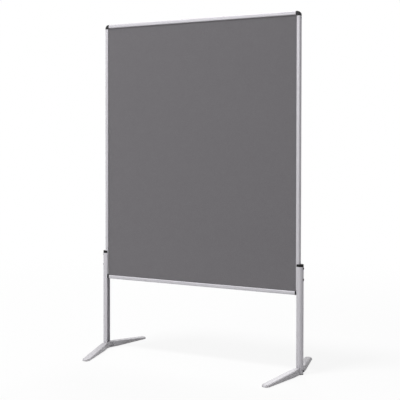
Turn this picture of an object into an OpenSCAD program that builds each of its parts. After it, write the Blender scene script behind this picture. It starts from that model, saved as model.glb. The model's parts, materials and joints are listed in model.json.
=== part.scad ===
// Free-standing pinboard. A felt-covered panel sits in an aluminium edge frame,
// which is screwed between two channel legs. Each leg stands on two swept foot
// arms that fold in under the board about upright pins.
// +X runs along the board, +Y to its back, +Z up, with the floor at zero.

/* [Board] */
// Width of the framed board
board_w = 1200; // [800:10:1600]
// Height of the framed board
board_h = 1500; // [900:10:1800]
// Height of the board's lower edge above the floor
board_z = 420; // [300:5:600]
// Thickness of the soft core
core_t = 15.2; // [10:0.1:20]
// Thickness of each felt layer
felt_t = 2; // [1:0.1:3]

/* [Frame profile] */
// Visible width of the frame's face
frame_face = 20.5; // [18:0.5:24]
// Height of the frame's lips over the felt
lip_h = 4.1; // [3:0.1:5]
// Thickness of the outer wall, of the inner web and of the lips' faces
wall_t = 1.6; // [1.2:0.1:2]
// Depth of the closed chamber behind the outer wall
chamber_d = 5.8; // [5:0.1:7]
// Rounding of the frame's outer edges
edge_r = 6.5; // [3:0.5:7]
// Rounding of the lips' inner edges
lip_r = 4; // [2:0.5:4]
// Thickness of the guide ribs at the bottom of the panel's groove
guide_t = 1.4; // [1:0.1:2]

/* [Corner caps] */
// Inner radius of the cap's bend
corner_in_r = 1; // [0.5:0.5:4]
// Length that a cap covers along each side
corner_len = 26; // [24:1:32]
// Length of the tongues inside the frame's chambers
tongue_len = 34; // [24:1:38]
// Bevel at the end of each tongue
tongue_bevel = 3; // [1:0.5:5]
// Distance of the fixing screws from the board's corner
corner_screw_at = 37; // [34:1:44]

/* [Corner screws] */
// Shank diameter
corner_screw_d = 4; // [3:0.5:5]
// Diameter of the countersunk head
corner_head_d = 7.6; // [6:0.2:9]
// Height of the countersunk head
corner_head_h = 1.5; // [1:0.1:2]
// Length of the screw
corner_screw_l = 6.4; // [5:0.1:7]
// Depth of the cross recess
corner_recess_h = 0.8; // [0.5:0.1:1]

/* [Legs] */
// Length of leg that overlaps the board's edge
leg_overlap = 165; // [140:5:260]
// Thickness of the cheeks beside the board's edge
cheek_t = 3.3; // [2.5:0.1:5]
// How far the cheeks reach inboard over the frame
cheek_reach = 16; // [14:0.5:22]
// Wall thickness of the round back
leg_wall = 2.2; // [1.6:0.1:3]
// Thickness of the web between the slot and the chamber
web_t = 2.5; // [2:0.1:3.5]

/* [Leg screws] */
// Thread diameter of the leg and hub screws
screw_d = 6; // [5:0.5:8]
// Diameter of their round heads
head_d = 10; // [8:0.5:12]
// Height of their heads
head_h = 6; // [4:0.5:7]
// Width across flats of the hexagon socket
socket_w = 5; // [4:0.5:6]
// Depth of the hexagon socket
socket_h = 3; // [2:0.5:4]
// Diameter of the access holes in the round back
access_d = 11; // [10.5:0.5:13]
// Distance of the upper screw below the leg profile's end
screw_drop = 9; // [8:1:20]
// Distance between the two leg screws
screw_pitch = 59; // [40:1:62]
// Width of the threaded plate in the side frame
nut_plate_w = 20; // [14:1:23]
// Length of the plate past each screw's axis
nut_plate_end = 13; // [8:1:14]

/* [Leg ends] */
// Height of the black cap on the leg
leg_cap_h = 14; // [10:1:20]
// Bevel round the cap's top
cap_bevel = 2; // [1:0.5:4]
// Length of the two prongs that hold the cap
prong_l = 16; // [8:1:24]
// Distance between the prongs
prong_gap = 13; // [12:0.5:16]
// Thickness of the plug under the leg
plug_h = 4; // [3:0.5:6]
// Bevel round the plug's foot
plug_bevel = 1; // [0.5:0.5:2]
// Height of the plug inside the leg, above the hub screw's axis
plug_past = 10; // [6:1:16]

/* [Foot hub] */
// Height of the hub's top above the floor
hub_top = 41; // [38:1:60]
// Radius of the ears that carry the arms
ear_r = 12.5; // [11:0.5:13]
// Height of the ears
ear_h = 18.8; // [14:0.2:20]
// Width of the necks between the hub and its ears
neck_w = 13; // [10:0.5:13]
// Bevel round the hub's upper end
hub_bevel = 2.5; // [1:0.5:4]
// Height of the hub screw above the floor
hub_screw_z = 20; // [18:1:30]
// Depth of the flat in the leg's round back under the hub screw's head
spot_depth = 1.1; // [1:0.05:1.3]
// Length of the hub screw's shank
hub_screw_l = 29; // [26:1:31]

/* [Foot arms] */
// Depth over both arms' tips
foot_depth = 690; // [500:10:900]
// Angle by which the arms lean inboard
foot_sweep = 11.3; // [5:0.1:15]
// Width across the arm's shoulder
arm_w = 40; // [36:0.5:46]
// Radius of the arm's round inner end
nose_r = 16; // [15:0.5:17]
// Radius of the arm's tip
tip_r = 22; // [16:0.5:24]
// Height of the arm's top above the floor at its pivot
arm_top = 38; // [36:0.5:44]
// Height of the arm's top above the floor at its tip
tip_top = 15; // [13:0.5:24]
// Rounding of the arm's upper edges
arm_edge_r = 9; // [5:0.5:9]
// Rounding of the upper edge round the arm's inner end
nose_edge_r = 5.5; // [3:0.5:6]
// Bevel of the arm's lower edges
arm_bevel = 1.5; // [0.5:0.5:3]
// Wall thickness of the casting
arm_wall = 3.2; // [2.5:0.1:4.5]
// Share of the upper rounding inside the wall by which the hollow narrows to its roof
taper_share = 0.5; // [0.4:0.05:0.8]
// Thickness of the lug under each ear
lug_t = 8; // [6:0.5:9]
// Thickness of the ribs under the arm
rib_t = 2.4; // [1.6:0.1:3]
// Angle of the ribs to the arm's width
rib_angle = 32; // [20:1:45]
// Height by which the ribs stop short of the arm's lower edge
rib_rise = 2; // [1:0.5:5]

/* [Pivots] */
// Diameter of the pivot pins
pin_d = 10; // [8:0.5:11]
// Bevel of the pins' ends
pin_bevel = 0.8; // [0.4:0.2:1.2]
// Depth of the pin in the upper lug
pin_hold = 4; // [3:0.2:4.4]
// Wall thickness of the bushes
bush_wall = 1.4; // [1:0.1:2]
// Thickness of the bushes' flanges
flange_t = 1; // [0.6:0.1:1.5]
// Diameter of the bushes' flanges
flange_d = 18; // [16:0.5:22]
// Gap between the arm's nose and the leg
nose_gap = 2.5; // [1:0.1:4]

/* [Glides] */
// Diameter of the rubber glides
glide_d = 24; // [18:1:28]
// Height of the glide below the arm
glide_h = 3; // [2:0.5:5]
// Bevel round the glide's foot
glide_bevel = 0.8; // [0.4:0.2:1.4]
// Diameter of the glide's stud
glide_stud_d = 8; // [5:0.5:10]
// Length of the glide's stud
glide_stud_l = 7; // [4:0.5:8]

/* [Hidden] */
// Gap where one piece seats in another
seat_gap = 0.3;
// Gap between a snug piece and its pocket
snug_gap = 0.2;
// Radial gap of a pressed or threaded fit
press_gap = 0.05;
// Radial gap of a running fit
run_gap = 0.08;
// Radial gap of a screw's clearance hole
screw_gap = 0.3;
// Overrun of every cut past the surface that it opens
overrun = 1;

// Panel and frame, from the layers outwards
panel_t = core_t + 2 * felt_t;
groove_w = panel_t + 2 * seat_gap;
frame_depth = groove_w + 2 * lip_h;
groove_at = wall_t + chamber_d + wall_t;
panel_w = board_w - 2 * (groove_at + seat_gap);
panel_h = board_h - 2 * (groove_at + seat_gap);
panel_z = board_z + groove_at + seat_gap;
board_top = board_z + board_h;
corner_r = frame_face + corner_in_r;

// Leg profile round the frame's edge, whose outer face lies on the leg's axis
slot_w = frame_depth + 2 * snug_gap;
leg_r = slot_w / 2 + cheek_t;
web_in = -seat_gap;
web_out = web_in - web_t;
leg_top = board_z + leg_overlap;
profile_top = leg_top - leg_cap_h;
screw_heights = [profile_top - screw_drop - screw_pitch, profile_top - screw_drop];
leg_screw_l = wall_t + chamber_d - web_out - 2 * snug_gap;
spot_x = leg_r - spot_depth;

// Foot, from the floor up
arm_z = glide_h;
fork_z = arm_z + lug_t;
ear_z = fork_z + flange_t + press_gap;
ear_top = ear_z + ear_h;
fork_top = ear_top + flange_t + press_gap;
pin_top = fork_top + pin_hold;
cave_r = ear_r + seat_gap;
bush_in_r = pin_d / 2 + run_gap;
bush_r = bush_in_r + bush_wall;
ear_bore_r = bush_r + press_gap;

// Arm, along its own axis from the pivot
pivot_y = leg_r + nose_gap + nose_r;
pivot_x = pivot_y * tan(foot_sweep);
tip_x = (foot_depth / 2 - tip_r - pivot_y) / cos(foot_sweep);
shoulder_share = 0.18;
shoulder_x = tip_x * shoulder_share;
top_slope = (arm_top - tip_top) / tip_x;
fold_angle = 90 - foot_sweep;
cave_x = cave_r + arm_wall;
hollow_taper = (arm_edge_r - arm_wall) * taper_share;
cave_l = tip_x - glide_d / 2 - arm_wall;
rib_count = 7;

$fn = 64;

// Places a piece that is drawn round the left leg's axis, +X inboard
module on_side(side) {
  if (side == "left") {
    translate([-board_w / 2, 0, 0]) children();
  } else {
    mirror([1, 0, 0]) translate([-board_w / 2, 0, 0]) children();
  }
}

// Turns a piece of the front arm into one of the rear arm
module on_end(end) {
  if (end == "front") {
    children();
  } else {
    mirror([0, 1, 0]) children();
  }
}

// Places a piece that is drawn round an arm's pivot, +X along the arm, +Y inboard
module on_arm(side, end) {
  on_side(side) on_end(end) translate([pivot_x, -pivot_y, 0]) rotate([0, 0, -fold_angle]) children();
}

// Places a piece that is drawn at the board's lower left corner at one of its four corners
module on_corner(side, row) {
  on_side(side) {
    if (row == "bottom") {
      translate([0, 0, board_z]) children();
    } else {
      translate([0, 0, board_top]) mirror([0, 0, 1]) children();
    }
  }
}

// A layer of the panel between two depths
module panel_layer(from_y, to_y) {
  translate([-panel_w / 2, from_y, panel_z]) cube([panel_w, to_y - from_y, panel_h]);
}

module board_core() {
  color("burlywood") panel_layer(-core_t / 2, core_t / 2);
}

module felt_front() {
  color("dimgray") panel_layer(-panel_t / 2, -core_t / 2);
}

module felt_back() {
  color("dimgray") panel_layer(core_t / 2, panel_t / 2);
}

// Outline of the frame: x from its outer face inwards, y across the board's depth
module frame_outline() {
  translate([edge_r, -frame_depth / 2]) square([frame_face - edge_r - lip_r, frame_depth]);
  translate([0, edge_r - frame_depth / 2]) square([edge_r, frame_depth - 2 * edge_r]);
  translate([frame_face - lip_r, lip_r - frame_depth / 2]) square([lip_r, frame_depth - 2 * lip_r]);
  for (way = [-1, 1]) {
    translate([edge_r, way * (frame_depth / 2 - edge_r)]) circle(r = edge_r);
    translate([frame_face - lip_r, way * (frame_depth / 2 - lip_r)]) circle(r = lip_r);
  }
}

// Section of the closed chamber, shrunk by a gap for what slides into it
module chamber_section(gap) {
  from = wall_t + gap;
  to = wall_t + chamber_d - gap;
  half = frame_depth / 2 - from;
  intersection() {
    union() {
      translate([edge_r, -half]) square([to - edge_r, 2 * half]);
      translate([from, edge_r - frame_depth / 2]) square([edge_r - from, frame_depth - 2 * edge_r]);
      for (way = [-1, 1]) {
        translate([edge_r, way * (frame_depth / 2 - edge_r)]) circle(r = edge_r - from);
      }
    }
    translate([from, -half]) square([to - from, 2 * half]);
  }
}

// Hollow under a lip, between the guide rib and the lip's hooked inner edge
module lip_hollow() {
  from = groove_at + guide_t;
  translate([from, groove_w / 2 - overrun])
    square([frame_face - lip_r - from, lip_h - wall_t + overrun]);
}

// Extrusion with a closed chamber outside and the panel's groove inside
module frame_profile() {
  difference() {
    frame_outline();
    chamber_section(0);
    translate([groove_at, -groove_w / 2]) square([frame_face, groove_w]);
    lip_hollow();
    mirror([0, 1]) lip_hollow();
  }
}

// Countersunk hole or screw body that enters at zero and runs along +X
module countersunk(gap, length) {
  rotate([0, 90, 0]) {
    cylinder(h = length, r = corner_screw_d / 2 + gap);
    cylinder(h = corner_head_h, r1 = corner_head_d / 2 + gap, r2 = corner_screw_d / 2 + gap);
  }
}

module frame_length(length, gap_at_screws) {
  difference() {
    linear_extrude(height = length) frame_profile();
    for (z = [corner_screw_at - corner_len, length - corner_screw_at + corner_len]) {
      translate([0, 0, z]) countersunk(gap_at_screws, wall_t + overrun);
    }
  }
}

module frame_side(side) {
  color("silver") on_side(side) {
    difference() {
      translate([0, 0, board_z + corner_len]) frame_length(board_h - 2 * corner_len, press_gap);
      for (z = screw_heights) {
        translate([-overrun, 0, z]) rotate([0, 90, 0])
          cylinder(h = wall_t + 2 * overrun, r = screw_d / 2 + screw_gap);
      }
    }
  }
}

module frame_rail() {
  length = board_w - 2 * corner_len;
  translate([length / 2, 0, 0]) rotate([0, -90, 0]) frame_length(length, press_gap);
}

module frame_bottom() {
  color("silver") translate([0, 0, board_z]) frame_rail();
}

module frame_top() {
  color("silver") translate([0, 0, board_top]) mirror([0, 0, 1]) frame_rail();
}

// One tongue of a corner cap: x into the board, z along the side
module corner_tongue() {
  half = frame_depth / 2 - wall_t - snug_gap;
  difference() {
    intersection() {
      translate([0, 0, corner_len - overrun]) linear_extrude(height = tongue_len + overrun)
        chamber_section(snug_gap);
      rotate([90, 0, 90]) linear_extrude(height = groove_at)
        polygon([
          [-half, 0],
          [half, 0],
          [half, corner_len + tongue_len - tongue_bevel],
          [half - tongue_bevel, corner_len + tongue_len],
          [tongue_bevel - half, corner_len + tongue_len],
          [-half, corner_len + tongue_len - tongue_bevel]
        ]);
    }
    translate([0, 0, corner_screw_at]) countersunk(press_gap, corner_r);
  }
}

// Bend of the frame with solid walls, one stub and one tongue along each side
module corner_shape() {
  difference() {
    union() {
      translate([corner_r, 0, corner_r]) rotate([90, 180, 0]) rotate_extrude(angle = 90)
        translate([corner_r, 0]) mirror([1, 0]) frame_outline();
      translate([0, 0, corner_r]) linear_extrude(height = corner_len - corner_r) frame_outline();
      translate([corner_len, 0, 0]) rotate([0, -90, 0])
        linear_extrude(height = corner_len - corner_r) frame_outline();
    }
    translate([groove_at, -groove_w / 2, groove_at]) cube([corner_len, groove_w, corner_len]);
  }
  corner_tongue();
  mirror([1, 0, -1]) corner_tongue();
}

module corner_cap(side, row) {
  color("darkslategray") on_corner(side, row) corner_shape();
}

module corner_screw() {
  difference() {
    translate([0, 0, corner_screw_at]) countersunk(0, corner_screw_l);
    translate([0, 0, corner_screw_at]) rotate([0, 90, 0]) {
      translate([0, 0, -overrun]) linear_extrude(height = corner_recess_h + overrun) {
        square([corner_screw_d, corner_recess_h], center = true);
        square([corner_recess_h, corner_screw_d], center = true);
      }
    }
  }
}

module corner_screws() {
  color("gray") {
    for (side = ["left", "right"]) {
      for (row = ["bottom", "top"]) {
        on_corner(side, row) {
          corner_screw();
          mirror([1, 0, -1]) corner_screw();
        }
      }
    }
  }
}

// Outboard half of a disc round the leg's axis
module half_round(r) {
  intersection() {
    circle(r = r);
    translate([-r, -r]) square([r, 2 * r]);
  }
}

// Round back and cheeks without their hollows, as a cross-section
module leg_outline(inset) {
  half_round(leg_r - inset);
  translate([0, inset - leg_r]) square([cheek_reach - inset, 2 * (leg_r - inset)]);
}

module leg_slot() {
  translate([web_in, -slot_w / 2]) square([cheek_reach + overrun, slot_w]);
}

// Half-round chamber behind the web, shrunk by a gap for what plugs into it
module leg_chamber(gap) {
  difference() {
    circle(r = leg_r - leg_wall - gap);
    translate([web_out - gap, -leg_r]) square([2 * leg_r, 2 * leg_r]);
  }
}

module leg_profile() {
  difference() {
    union() {
      half_round(leg_r);
      translate([0, -leg_r]) square([cheek_reach - cheek_t / 2, 2 * leg_r]);
      for (way = [-1, 1]) {
        translate([cheek_reach - cheek_t / 2, way * (leg_r - cheek_t / 2)]) circle(d = cheek_t);
      }
    }
    leg_slot();
    leg_chamber(0);
  }
}

// Hole through the web for a screw, with the access hole outside it
module leg_screw_hole(z) {
  translate([-leg_r - overrun, 0, z]) rotate([0, 90, 0])
    cylinder(h = leg_r + overrun + web_out - overrun, d = access_d);
  translate([web_out - overrun, 0, z]) rotate([0, 90, 0])
    cylinder(h = web_t + 2 * overrun, r = screw_d / 2 + screw_gap);
}

// Holes for the hub screw, and the flat in the leg's round back that its head stands on
module hub_screw_hole() {
  translate([-leg_r - overrun, 0, hub_screw_z]) rotate([0, 90, 0]) {
    cylinder(h = leg_r - spot_x + overrun, d = access_d);
    cylinder(h = leg_r + 2 * overrun, r = screw_d / 2 + screw_gap);
  }
}

// The cheeks are cut away at the foot, where the hub's ears come through
module leg(side) {
  color("silver") on_side(side) difference() {
    translate([0, 0, plug_h]) linear_extrude(height = profile_top - plug_h) leg_profile();
    translate([0, -leg_r - overrun, 0])
      cube([cheek_reach + overrun, 2 * (leg_r + overrun), ear_top + seat_gap]);
    hub_screw_hole();
    for (z = screw_heights) {
      leg_screw_hole(z);
    }
  }
}

// Cap with a bevelled top, open to the slot, on two prongs beside the upper screw
module leg_cap(side) {
  prong_x = leg_r / 2;
  prong_y = leg_r * 2 / 3;
  color("black") on_side(side) translate([0, 0, profile_top]) {
    difference() {
      hull() {
        linear_extrude(height = leg_cap_h - cap_bevel) leg_outline(0);
        linear_extrude(height = leg_cap_h) leg_outline(cap_bevel);
      }
      translate([0, 0, -overrun]) linear_extrude(height = leg_cap_h + 2 * overrun) leg_slot();
    }
    for (way = [-1, 1]) {
      translate([0, 0, -prong_l]) linear_extrude(height = prong_l + overrun)
        polygon([
          [web_out - seat_gap, way * prong_gap / 2],
          [web_out - seat_gap, way * prong_y],
          [-prong_x, way * prong_y],
          [-prong_x, way * prong_gap / 2]
        ]);
    }
  }
}

// Plug that closes the chamber and is the leg's own foot
module leg_plug(side) {
  color("black") on_side(side) difference() {
    union() {
      difference() {
        union() {
          cylinder(h = plug_bevel, r1 = leg_r - plug_bevel, r2 = leg_r);
          translate([0, 0, plug_bevel]) cylinder(h = plug_h - plug_bevel, r = leg_r);
        }
        translate([web_in, -leg_r - overrun, -overrun])
          cube([leg_r + overrun, 2 * (leg_r + overrun), plug_h + 2 * overrun]);
      }
      translate([0, 0, plug_h - overrun])
        linear_extrude(height = hub_screw_z + plug_past - plug_h + overrun) leg_chamber(snug_gap);
    }
    hub_screw_hole();
  }
}

// Socket-head screw along +X, its head's seat at zero
module cap_screw(length) {
  rotate([0, 90, 0]) {
    cylinder(h = length, d = screw_d);
    difference() {
      translate([0, 0, -head_h]) cylinder(h = head_h, d = head_d);
      translate([0, 0, -head_h - overrun])
        cylinder(h = socket_h + overrun, d = socket_w / cos(30), $fn = 6);
    }
  }
}

module leg_screws(side) {
  color("dimgray") on_side(side) {
    for (z = screw_heights) {
      translate([web_out, 0, z]) cap_screw(leg_screw_l);
    }
  }
}

module hub_screw(side) {
  color("dimgray") on_side(side) translate([-spot_x - seat_gap, 0, hub_screw_z])
    cap_screw(hub_screw_l);
}

module nut_plate(side) {
  low = screw_heights[0] - nut_plate_end;
  high = screw_heights[1] + nut_plate_end;
  color("gray") on_side(side) difference() {
    translate([0, 0, low]) linear_extrude(height = high - low) intersection() {
      chamber_section(snug_gap);
      translate([0, -nut_plate_w / 2]) square([groove_at, nut_plate_w]);
    }
    for (z = screw_heights) {
      translate([0, 0, z]) rotate([0, 90, 0])
        cylinder(h = groove_at, r = screw_d / 2 + press_gap);
    }
  }
}

// Ear round one pivot with its neck, which leaves the leg through a cut-away cheek
module hub_ear() {
  translate([pivot_x, -pivot_y, ear_z]) {
    cylinder(h = ear_h, r = ear_r);
    translate([-neck_w / 2, 0, 0]) cube([neck_w, pivot_y, ear_h]);
  }
}

// Casting that fills the foot of the slot and carries both arms
module foot_hub(side) {
  half = slot_w / 2 - seat_gap;
  thick = cheek_reach - seat_gap;
  color("lightgray") on_side(side) difference() {
    union() {
      translate([0, -half, arm_z]) rotate([90, 0, 90]) linear_extrude(height = thick)
        polygon([
          [0, 0],
          [2 * half, 0],
          [2 * half, hub_top - arm_z - hub_bevel],
          [2 * half - hub_bevel, hub_top - arm_z],
          [hub_bevel, hub_top - arm_z],
          [0, hub_top - arm_z - hub_bevel]
        ]);
      hub_ear();
      mirror([0, 1, 0]) hub_ear();
    }
    for (way = [-1, 1]) {
      translate([pivot_x, way * pivot_y, ear_z - overrun])
        cylinder(h = ear_h + 2 * overrun, r = ear_bore_r);
    }
    translate([-overrun, 0, hub_screw_z]) rotate([0, 90, 0])
      cylinder(h = hub_screw_l - spot_x + 2 * overrun, r = screw_d / 2 + press_gap);
  }
}

// Flanged bush whose flange lies on the ear's upper face at zero
module flanged_bush(length) {
  difference() {
    union() {
      translate([0, 0, -length]) cylinder(h = length, r = bush_r);
      cylinder(h = flange_t, d = flange_d);
    }
    translate([0, 0, -length - overrun]) cylinder(h = length + flange_t + 2 * overrun, r = bush_in_r);
  }
}

module pivot_bush(side, end) {
  length = ear_h / 2 - seat_gap;
  color("whitesmoke") on_arm(side, end) {
    translate([0, 0, ear_top]) flanged_bush(length);
    translate([0, 0, ear_z]) mirror([0, 0, 1]) flanged_bush(length);
  }
}

module pivot_pin(side, end) {
  length = pin_top - arm_z - 2 * seat_gap;
  color("gray") on_arm(side, end) translate([0, 0, arm_z + seat_gap]) {
    cylinder(h = pin_bevel, r1 = pin_d / 2 - pin_bevel, r2 = pin_d / 2);
    translate([0, 0, pin_bevel]) cylinder(h = length - 2 * pin_bevel, d = pin_d);
    translate([0, 0, length - pin_bevel])
      cylinder(h = pin_bevel, r1 = pin_d / 2, r2 = pin_d / 2 - pin_bevel);
  }
}

// Round pillar with a bevelled foot and a rounded top, one station of the arm
module arm_pillar(x, r, top, edge) {
  translate([x, 0, 0]) {
    translate([0, 0, arm_z]) cylinder(h = arm_bevel, r1 = r - arm_bevel, r2 = r, $fn = 32);
    translate([0, 0, top - edge]) rotate_extrude($fn = 32) intersection() {
      translate([r - edge, 0]) circle(r = edge, $fn = 20);
      square([r, edge]);
    }
  }
}

// Height of the arm's top at a place along it
function top_at(x) = arm_top - top_slope * x;

module arm_body() {
  hull() {
    arm_pillar(0, nose_r, top_at(0), nose_edge_r);
    arm_pillar(shoulder_x, arm_w / 2, top_at(shoulder_x), arm_edge_r);
    arm_pillar(tip_x, tip_r, top_at(tip_x), arm_edge_r);
  }
}

// Hollow of the casting between the fork and the glide's boss
module arm_hollow() {
  r = arm_w / 2 - arm_wall;
  first_x = cave_x + arm_wall + r;
  last_x = cave_l - r;
  hull() {
    for (x = [first_x, last_x]) {
      translate([x, 0, arm_z - overrun])
        cylinder(h = top_at(x) - arm_wall - arm_z + overrun, r1 = r, r2 = r - hollow_taper, $fn = 32);
    }
  }
}

// Diagonal ribs that cross the hollow, leaning to and fro
module arm_ribs() {
  step = (cave_l - cave_x) / rib_count;
  for (i = [1 : rib_count - 1]) {
    translate([cave_x + i * step, 0, arm_z + rib_rise]) rotate([0, 0, i % 2 == 0 ? rib_angle : -rib_angle])
      translate([-rib_t / 2, -arm_w, 0]) cube([rib_t, 2 * arm_w, arm_top]);
  }
}

// Room that the ear and its neck need between the lugs from unfolded to folded
module arm_fork() {
  reach = arm_w;
  half = neck_w / 2 + seat_gap;
  translate([0, 0, fork_z]) linear_extrude(height = fork_top - fork_z) {
    circle(r = cave_r);
    for (turn = [90, 90 + fold_angle]) {
      rotate(turn) translate([0, -half]) square([reach, 2 * half]);
    }
    polygon([
      [0, 0],
      [0, reach],
      [-reach, reach],
      [reach * cos(90 + fold_angle), reach * sin(90 + fold_angle)]
    ]);
  }
}

module arm(side, end) {
  color("gainsboro") on_arm(side, end) difference() {
    arm_body();
    difference() {
      arm_hollow();
      arm_ribs();
    }
    arm_fork();
    translate([0, 0, arm_z - overrun])
      cylinder(h = pin_top - arm_z + overrun, r = pin_d / 2 + press_gap);
    translate([tip_x, 0, arm_z - overrun])
      cylinder(h = glide_stud_l + seat_gap + overrun, r = glide_stud_d / 2 + press_gap);
  }
}

module arm_glide(side, end) {
  color("dimgray") on_arm(side, end) translate([tip_x, 0, 0]) {
    cylinder(h = glide_bevel, r1 = glide_d / 2 - glide_bevel, r2 = glide_d / 2);
    translate([0, 0, glide_bevel]) cylinder(h = glide_h - glide_bevel, d = glide_d);
    cylinder(h = glide_h + glide_stud_l, d = glide_stud_d);
  }
}

board_core();
felt_front();
felt_back();
frame_top();
frame_bottom();
frame_side("left");  // frame_left
frame_side("right");  // frame_right
corner_cap("left", "top");  // corner_top_left
corner_cap("right", "top");  // corner_top_right
corner_cap("left", "bottom");  // corner_bottom_left
corner_cap("right", "bottom");  // corner_bottom_right
corner_screws();
leg("left");  // leg_left
leg("right");  // leg_right
leg_cap("left");  // leg_cap_left
leg_cap("right");  // leg_cap_right
leg_plug("left");  // leg_plug_left
leg_plug("right");  // leg_plug_right
leg_screws("left");  // leg_screws_left
leg_screws("right");  // leg_screws_right
nut_plate("left");  // nut_plate_left
nut_plate("right");  // nut_plate_right
foot_hub("left");  // foot_hub_left
foot_hub("right");  // foot_hub_right
hub_screw("left");  // hub_screw_left
hub_screw("right");  // hub_screw_right
pivot_bush("left", "front");  // pivot_bush_left_front
pivot_bush("left", "rear");  // pivot_bush_left_rear
pivot_bush("right", "front");  // pivot_bush_right_front
pivot_bush("right", "rear");  // pivot_bush_right_rear
arm("left", "front");  // arm_left_front
arm("left", "rear");  // arm_left_rear
arm("right", "front");  // arm_right_front
arm("right", "rear");  // arm_right_rear
pivot_pin("left", "front");  // pivot_pin_left_front
pivot_pin("left", "rear");  // pivot_pin_left_rear
pivot_pin("right", "front");  // pivot_pin_right_front
pivot_pin("right", "rear");  // pivot_pin_right_rear
arm_glide("left", "front");  // arm_glide_left_front
arm_glide("left", "rear");  // arm_glide_left_rear
arm_glide("right", "front");  // arm_glide_right_front
arm_glide("right", "rear");  // arm_glide_right_rear
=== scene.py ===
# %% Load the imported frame
import json
import math
import bmesh
import bpy
from mathutils import Matrix, Vector


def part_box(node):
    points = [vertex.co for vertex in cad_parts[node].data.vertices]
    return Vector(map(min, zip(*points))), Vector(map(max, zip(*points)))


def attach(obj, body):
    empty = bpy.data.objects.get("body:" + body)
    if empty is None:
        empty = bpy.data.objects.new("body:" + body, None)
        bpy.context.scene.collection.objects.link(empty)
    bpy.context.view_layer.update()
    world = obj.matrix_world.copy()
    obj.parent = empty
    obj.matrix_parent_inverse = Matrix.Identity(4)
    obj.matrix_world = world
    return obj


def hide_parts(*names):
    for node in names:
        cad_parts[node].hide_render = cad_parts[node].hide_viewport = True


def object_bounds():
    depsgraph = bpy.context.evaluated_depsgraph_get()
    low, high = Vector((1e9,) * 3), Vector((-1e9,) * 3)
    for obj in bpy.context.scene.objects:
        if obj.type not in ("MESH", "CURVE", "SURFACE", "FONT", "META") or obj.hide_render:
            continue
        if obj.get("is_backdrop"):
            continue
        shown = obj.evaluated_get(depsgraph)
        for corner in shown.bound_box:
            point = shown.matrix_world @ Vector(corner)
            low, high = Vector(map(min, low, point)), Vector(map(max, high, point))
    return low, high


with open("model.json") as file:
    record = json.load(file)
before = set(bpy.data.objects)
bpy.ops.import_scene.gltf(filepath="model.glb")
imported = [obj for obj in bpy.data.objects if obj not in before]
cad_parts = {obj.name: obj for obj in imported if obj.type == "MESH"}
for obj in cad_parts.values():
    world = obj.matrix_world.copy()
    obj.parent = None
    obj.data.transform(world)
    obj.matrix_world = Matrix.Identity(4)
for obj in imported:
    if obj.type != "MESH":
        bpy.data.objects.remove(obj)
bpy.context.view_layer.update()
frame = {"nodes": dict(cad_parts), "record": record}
nodes = frame["nodes"]

# %% [markdown]
# # A felt pinboard on two folding feet
#
# The board is a soft panel with grey felt on both sides, held all round in the groove
# of an aluminium extrusion. Two channel-shaped legs clasp its side edges, and each leg
# stands on two cast arms that fold in under the board.
#
# Everything is in metres. X runs along the board, Y to its back, and Z up from the floor.

# %% [markdown]
# ## The camera
#
# The photograph keeps all uprights parallel, as a shift lens does. An almost level camera
# whose frame is shifted sideways and down gives that, and the rails still run to their own
# vanishing points. Views from other sides keep the shift, which moves the object off their
# middle. So only part of the photograph's shift is used, and even so a few pixels of a top
# corner can leave the frame there.

# %% Camera
HEADING, TILT = 30.03, 1.04
camera = bpy.data.objects.new("camera", bpy.data.cameras.new("camera"))
camera.location = (2.173, -4.547, 1.2343)
camera.rotation_euler = (math.radians(90 - TILT), 0, math.radians(HEADING))
camera.data.sensor_width = 36
camera.data.lens = 80.67
camera.data.shift_x = 0.1815
camera.data.shift_y = -0.1065
bpy.context.scene.collection.objects.link(camera)
bpy.context.scene.camera = camera
bpy.context.scene.view_settings.view_transform = "Standard"
print("camera:", round(camera.data.lens, 1), "mm, heading", HEADING)

# %% [markdown]
# ## Helpers for node trees
#
# Colours are written as the hex values that a screen shows. A shader works with light
# itself, so one function turns them to linear values. A second function adds a node
# with its settings and whatever feeds its sockets, for shaders and geometry alike. It
# passes over the sockets that a node's settings switch off, so the A and B of a Mix node
# that is set to colours are its two colours.

# %% Helpers


def linear(code):
    """A hex colour as linear red, green, blue and alpha."""
    shares = [int(code[i:i + 2], 16) / 255 for i in (1, 3, 5)]
    light = [s / 12.92 if s <= 0.04045 else ((s + 0.055) / 1.055) ** 2.4 for s in shares]
    return (*light, 1)


def add(tree, kind, inputs=None, **settings):
    """Adds a node. Settings are its properties, and inputs go by name or count from 0.

    An input gets a value, or it is fed by a socket, by a node's result, or by a list of these.
    """
    node = tree.nodes.new(kind)
    for name, value in settings.items():
        setattr(node, name, value)
    usable = [socket for socket in node.inputs if socket.enabled]
    for key, value in (inputs or {}).items():
        target = usable[key] if isinstance(key, int) else next(s for s in usable if s.name == key)
        for feed in value if isinstance(value, list) else [value]:
            if isinstance(feed, bpy.types.Node):
                feed = next(socket for socket in feed.outputs if socket.enabled)
            if isinstance(feed, bpy.types.NodeSocket):
                tree.links.new(feed, target)
            else:
                target.default_value = feed
    return node


def new_material(name):
    """An empty material, its tree, and the object coordinates that its patterns lie in."""
    material = bpy.data.materials.new(name)
    material.use_nodes = True
    tree = material.node_tree
    tree.nodes.clear()
    return material, tree, add(tree, "ShaderNodeTexCoord").outputs["Object"]


print("mid grey #808080 is", round(linear("#808080")[0], 3), "in linear light")

# %% [markdown]
# ## Rubbed edges
#
# Where two faces meet, handling rubs a finish, and the corner is never quite sharp. The
# Bevel node gives the normal of a rounded corner. Near an edge it turns away from the
# true normal, and the dot product of the two tells how near that edge is.

# %% Rubbed edges


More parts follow.
